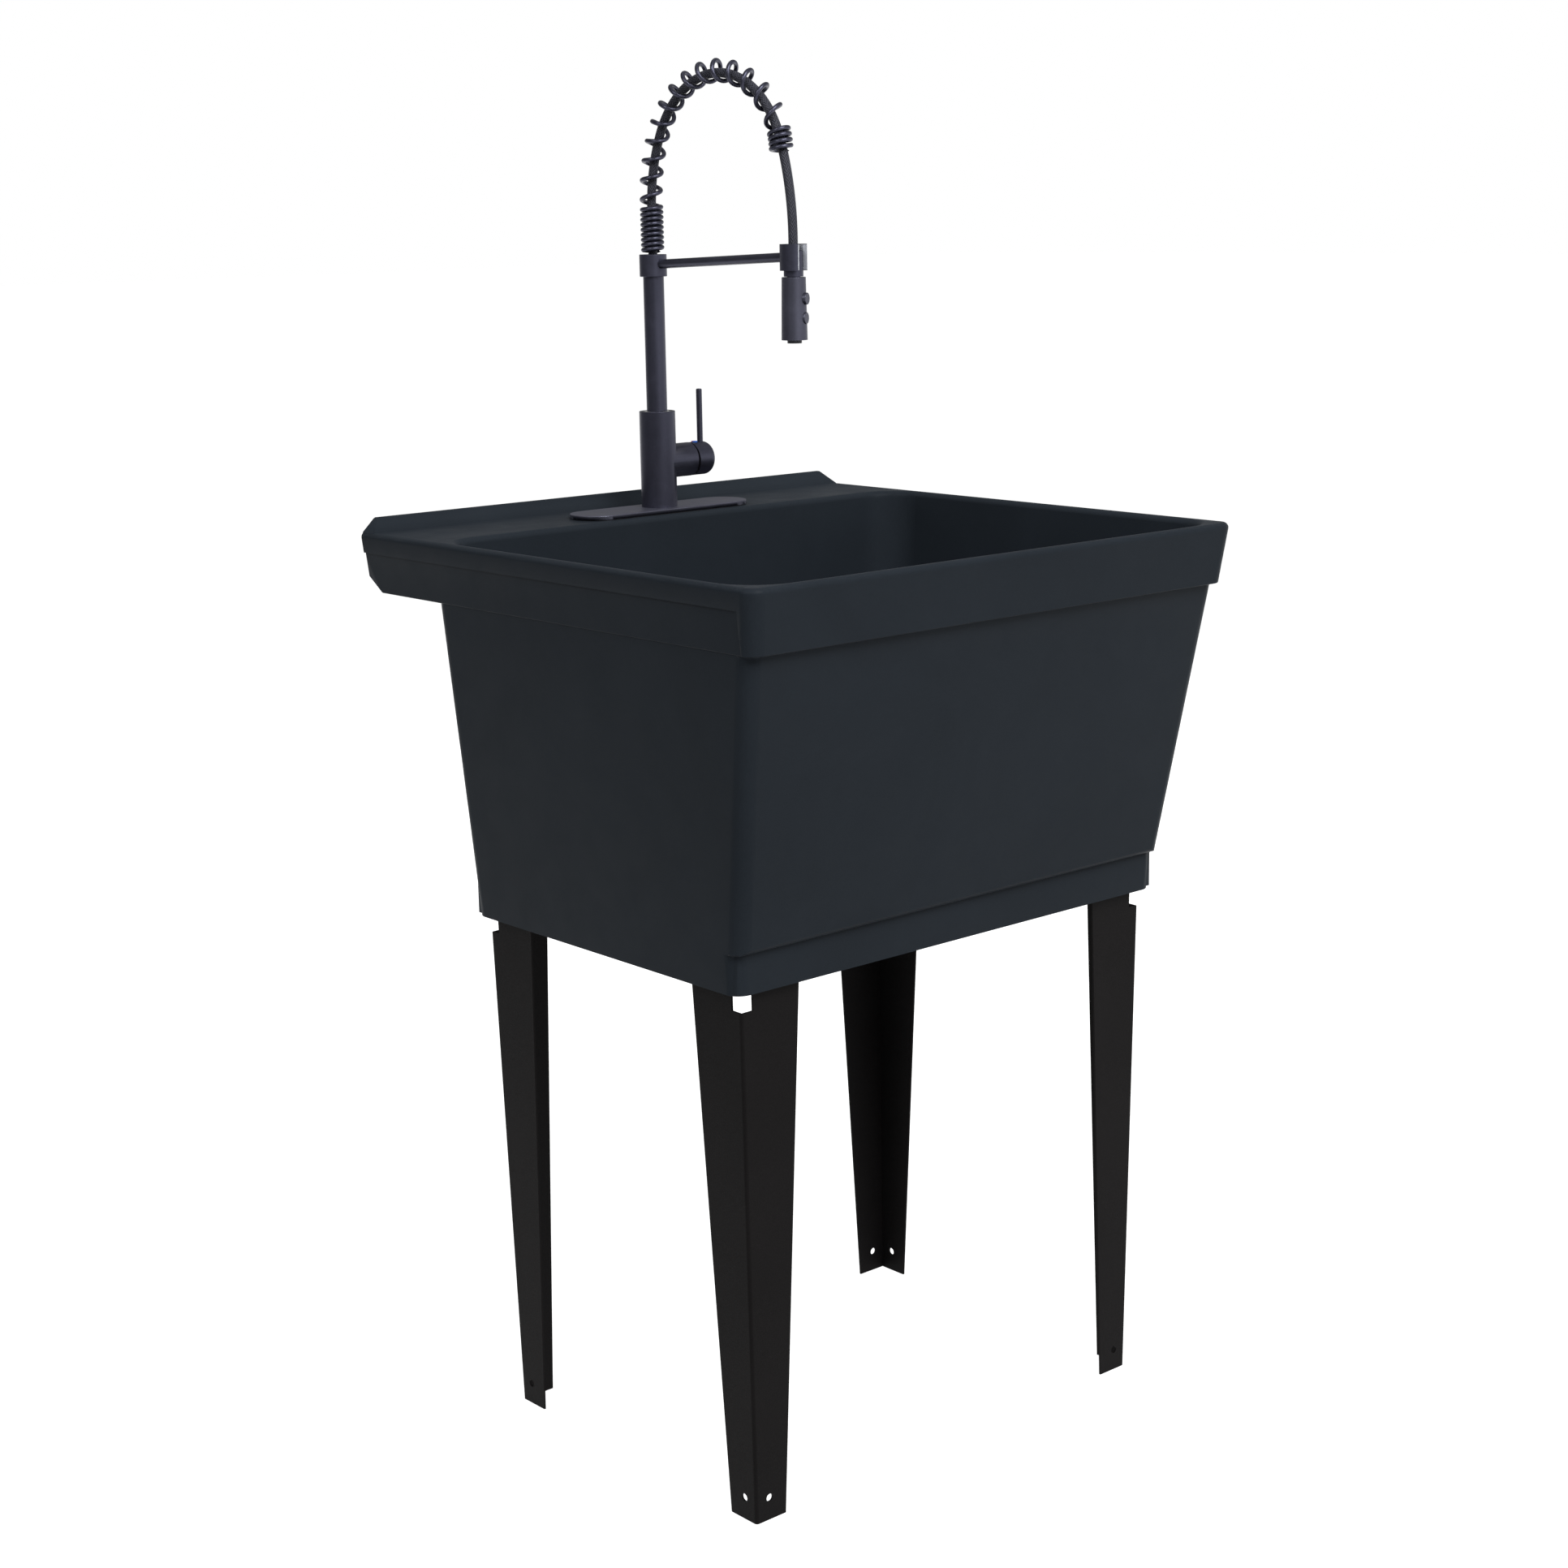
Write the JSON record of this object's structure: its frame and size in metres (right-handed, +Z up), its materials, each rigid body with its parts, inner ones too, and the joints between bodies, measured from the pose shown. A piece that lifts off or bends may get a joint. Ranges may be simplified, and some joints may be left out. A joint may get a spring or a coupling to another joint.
{
  "type": "utility sink",
  "caption": "Freestanding moulded utility laundry sink on folded steel legs, with drain, plug and a single-lever spring-arch tap whose spray head pulls down.",
  "frame": {"origin": "on the floor under the centre of the tub's rim", "axes": "+X to the user's right, +Y towards the wall, +Z up"},
  "size_m": [0.596, 0.5692, 1.2891],
  "materials": {
    "tub_plastic": "satin",
    "leg_black": "matte powder coat",
    "tap_black": "matte",
    "black_spring": "matte",
    "spray_plastic": "matte",
    "nozzle_grey": "matte",
    "hose_braid": "braided",
    "steel": "brushed",
    "zinc_steel": "blackened",
    "brass": "machined",
    "white_plastic": "matte",
    "black_rubber": "matte",
    "blue_mark": "satin",
    "red_mark": "satin"
  },
  "bodies": {
    "sink": {"tub": "tub_plastic", "leg_front_left": "leg_black", "leg_front_right": "leg_black", "leg_back_left": "leg_black", "leg_back_right": "leg_black", "leg_screws": "zinc_steel", "drain_flange": "steel", "drain_strainer": "steel", "drain_washer": "black_rubber", "drain_locknut": "white_plastic", "tailpiece": "white_plastic", "slip_nut": "white_plastic", "deck_gasket": "black_rubber", "deck_plate": "tap_black", "tap_body": "tap_black", "tap_shank": "brass", "tap_rubber_washer": "black_rubber", "tap_steel_washer": "zinc_steel", "tap_mounting_nut": "brass", "valve_cartridge": "white_plastic", "cartridge_retainer": "brass", "swivel_bushing": "white_plastic"},
    "stopper": {"drain_stopper": "black_rubber"},
    "valve_carrier": {"cartridge_carrier": "steel", "stem_pivot_pin": "steel"},
    "lever": {"valve_stem": "steel", "lever_cap": "tap_black", "lever_rod": "tap_black", "lever_set_screw": "zinc_steel", "cold_index": "blue_mark", "hot_index": "red_mark"},
    "spout": {"riser_tube": "tap_black", "riser_seals": "black_rubber", "riser_collar": "tap_black", "collar_screw": "zinc_steel", "support_arm": "tap_black", "holder_ring": "tap_black", "holder_liner": "nozzle_grey", "coil_spring": "black_spring", "spray_hose": "hose_braid", "hose_ferrule": "brass"},
    "hose_end": {"spray_neck": "tap_black"},
    "spray": {"spray_head": "spray_plastic", "spray_face": "nozzle_grey", "spray_nozzle": "nozzle_grey"},
    "spray_key": {"spray_button": "spray_plastic"},
    "pause_key": {"pause_button": "spray_plastic"}
  },
  "joints": [
    {"name": "stopper_lift", "type": "slide", "parent": "sink", "child": "stopper", "axis": [0, 0, 1], "range_m": [0, 0.12]},
    {"name": "temperature_turn", "type": "hinge", "parent": "sink", "child": "valve_carrier", "pos_m": [0.033, 0.204, 0.906], "axis": [1, 0, 0], "range_deg": [-45, 45]},
    {"name": "flow_lift", "type": "hinge", "parent": "valve_carrier", "child": "lever", "pos_m": [0.033, 0.204, 0.906], "axis": [0, 1, 0], "range_deg": [0, 10]},
    {"name": "spout_swivel", "type": "hinge", "parent": "sink", "child": "spout", "pos_m": [0, 0.204, 1], "axis": [0, 0, 1], "range_deg": [-180, 180]},
    {"name": "spray_pull", "type": "slide", "parent": "spout", "child": "hose_end", "axis": [0, 0, -1], "range_m": [0, 0.12], "stiffness_N_per_m": 60, "springref_m": -0.05, "deforming": ["spray_hose", "coil_spring"]},
    {"name": "head_swivel", "type": "hinge", "parent": "hose_end", "child": "spray", "pos_m": [0, -0.00363, 1.0885], "axis": [0, 0, 1], "continuous": true},
    {"name": "spray_button_press", "type": "slide", "parent": "spray", "child": "spray_key", "axis": [-0.4384, 0.8988, 0], "range_m": [0, 0.0015], "stiffness_N_per_m": 400, "springref_m": -0.002},
    {"name": "pause_button_press", "type": "slide", "parent": "spray", "child": "pause_key", "axis": [-0.4384, 0.8988, 0], "range_m": [0, 0.001], "stiffness_N_per_m": 400, "springref_m": -0.002}
  ]
}
